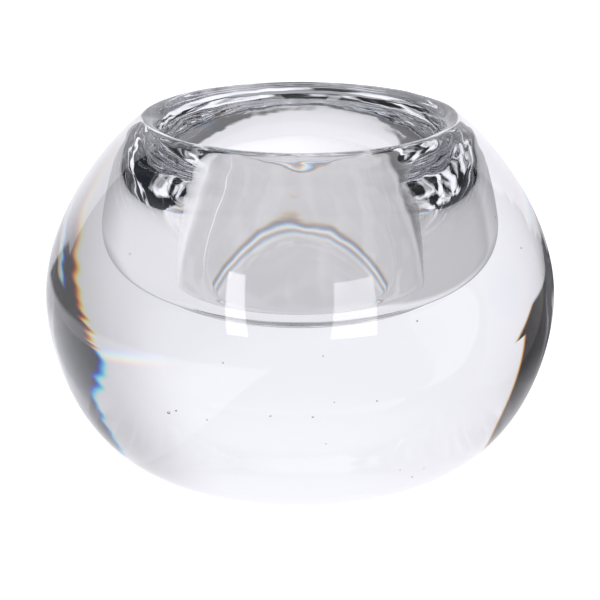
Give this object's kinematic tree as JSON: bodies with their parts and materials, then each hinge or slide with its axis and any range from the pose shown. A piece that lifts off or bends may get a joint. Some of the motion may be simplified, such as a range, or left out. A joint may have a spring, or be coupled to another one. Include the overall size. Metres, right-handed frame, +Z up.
{
  "type": "floating candle bowl",
  "caption": "Rounded heavy clear glass bowl with a rolled lip and a deep round well for a small floating candle or a tealight.",
  "frame": {"origin": "centre of the foot, on the surface that the bowl stands on", "axes": "+Z up along the bowl's axis, out of its mouth; +X and +Y are alike because the bowl is round"},
  "size_m": [0.125, 0.125, 0.087],
  "materials": {
    "clear_glass": "fire polished, clear, with a few small air bubbles"
  },
  "bodies": {
    "root": {"glass_bowl": "clear_glass"}
  },
  "joints": []
}
